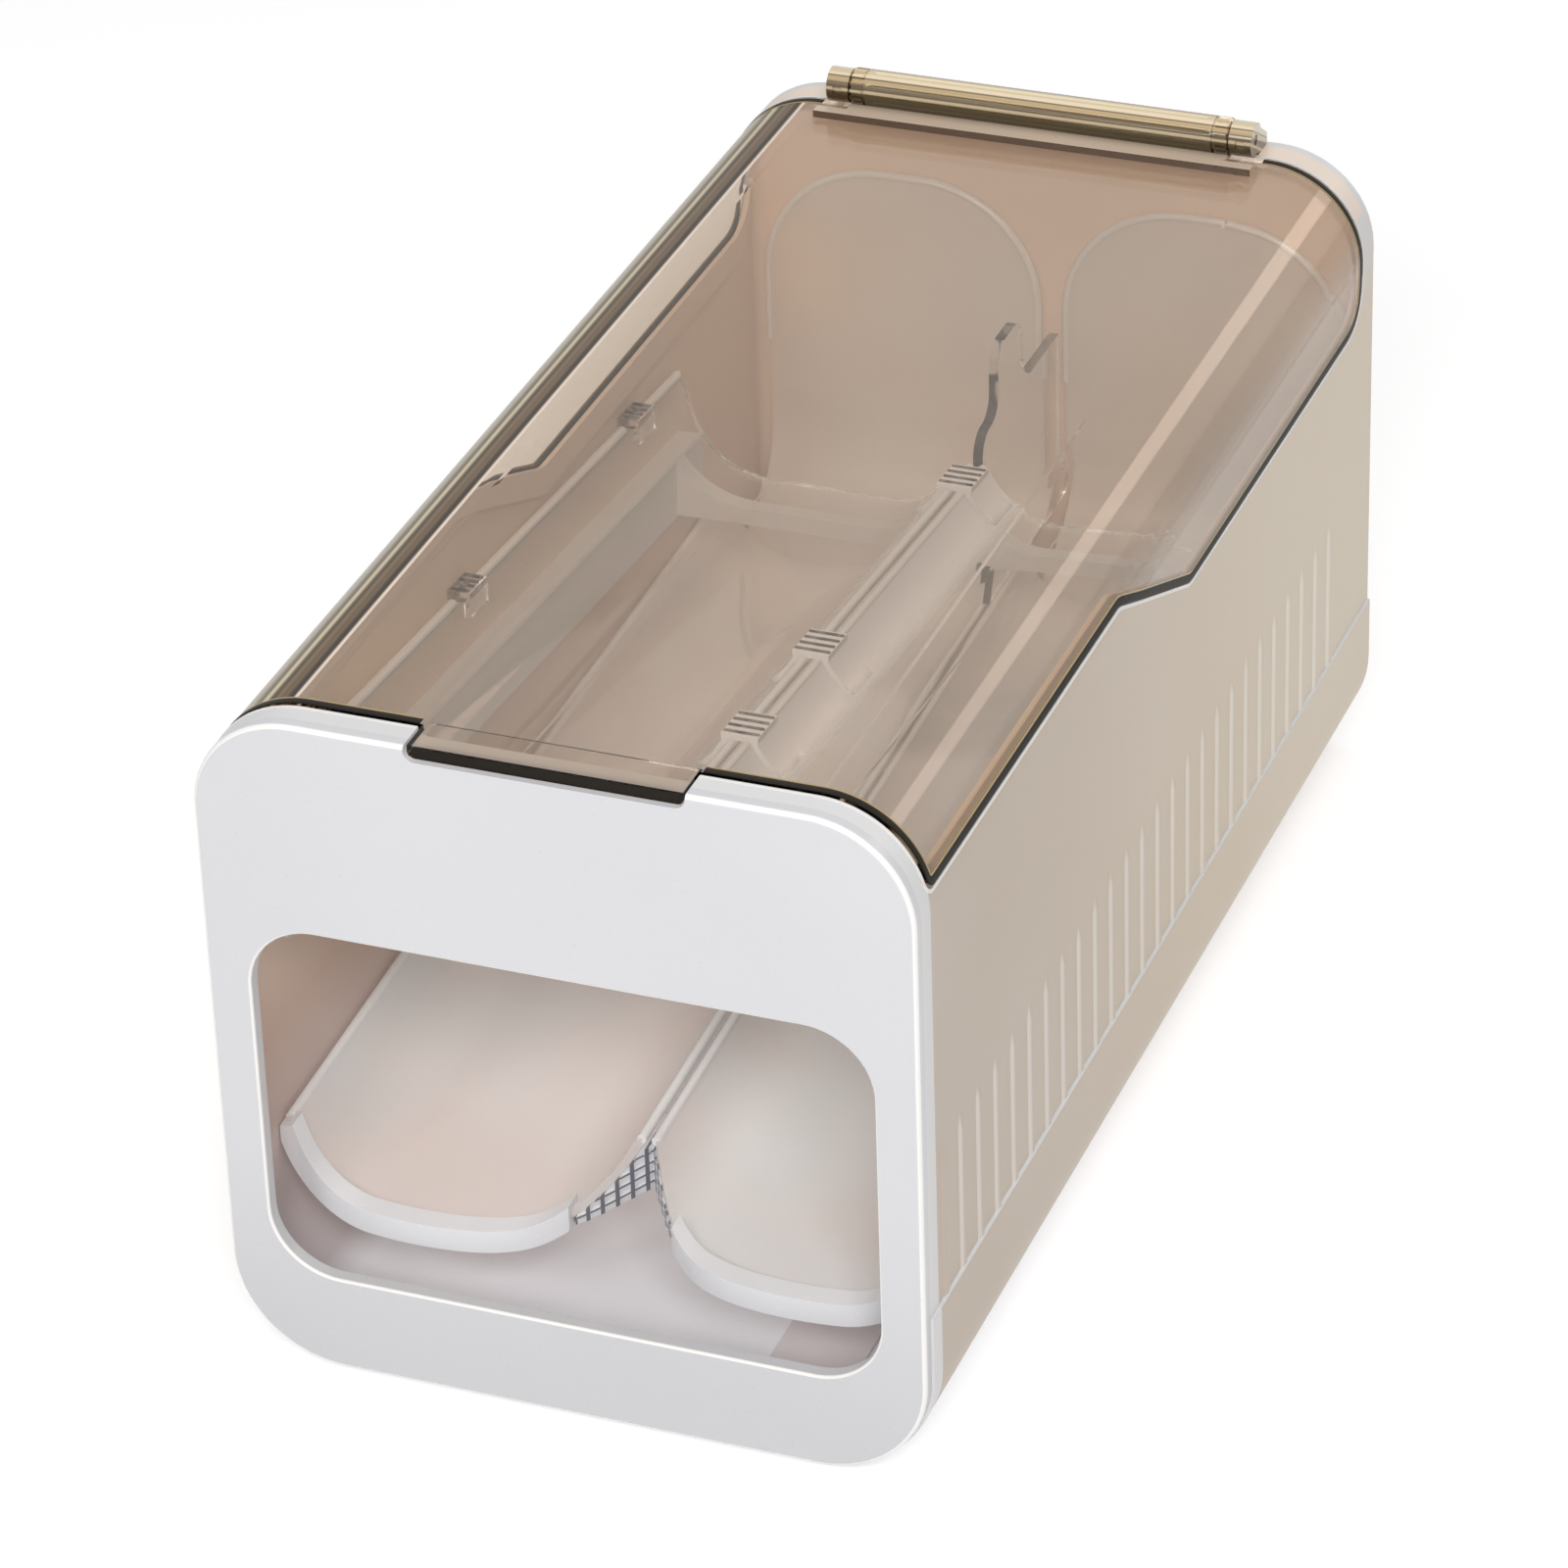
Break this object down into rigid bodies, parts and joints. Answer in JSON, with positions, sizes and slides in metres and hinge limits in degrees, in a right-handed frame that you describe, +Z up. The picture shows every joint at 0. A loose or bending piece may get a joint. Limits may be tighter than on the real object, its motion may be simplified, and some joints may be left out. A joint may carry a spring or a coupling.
{
  "type": "egg dispenser",
  "caption": "Rounded see-through box with a hinged lid, two tiers of sloping egg troughs that roll eggs to the back and down to a window in front.",
  "frame": {"origin": "middle of the footprint, on the surface the dispenser stands on", "axes": "+Z up, +Y from the window in front to the hinge at the back, +X to the right seen from the front"},
  "size_m": [0.1612, 0.322, 0.1731],
  "materials": {
    "shell": "smooth satin moulded plastic",
    "front": "smooth gloss white plastic",
    "lid_tint": "clear tea-brown tinted plastic",
    "barrel": "dark gold-brown gloss plastic",
    "leaf": "pale tan plastic",
    "pin": "plain steel",
    "clear_lane": "clear plastic",
    "lower_tray": "milky translucent plastic",
    "frosted": "frosted translucent plastic",
    "frame_white": "white moulded plastic",
    "rim_white": "white gloss plastic",
    "pad_grey": "soft grey pad",
    "foot_rubber": "soft grey rubber"
  },
  "bodies": {
    "root": {"body_shell": "shell", "front_panel": "front", "hinge_pin": "pin", "hinge_lug_left": "leaf", "hinge_lug_right": "leaf", "upper_lane_left": "clear_lane", "upper_lane_right": "clear_lane", "upper_rail_left": "frame_white", "upper_rail_right": "frame_white", "upper_beam_front": "frame_white", "upper_beam_rear": "frame_white", "lower_lane_left": "lower_tray", "lower_lane_right": "lower_tray", "lower_cradle_front": "frame_white", "lower_cradle_middle": "frame_white", "lower_cradle_rear": "frame_white", "egg_stop_left": "rim_white", "egg_stop_right": "rim_white", "rear_chute_left": "frosted", "rear_chute_right": "frosted", "upper_ridge_clips": "clear_lane", "upper_side_clips": "clear_lane", "lower_ridge_cap": "rim_white", "drop_divider": "clear_lane", "floor_pad": "pad_grey", "foot_front_left": "foot_rubber", "foot_front_right": "foot_rubber", "foot_rear_left": "foot_rubber", "foot_rear_right": "foot_rubber"},
    "lid": {"lid": "lid_tint", "hinge_leaf": "leaf", "hinge_barrel": "barrel"}
  },
  "joints": [
    {"name": "lid_hinge", "type": "hinge", "parent": "root", "child": "lid", "pos_m": [0, 0.151, 0.1685], "axis": [-1, 0, 0], "range_deg": [0, 105]}
  ]
}
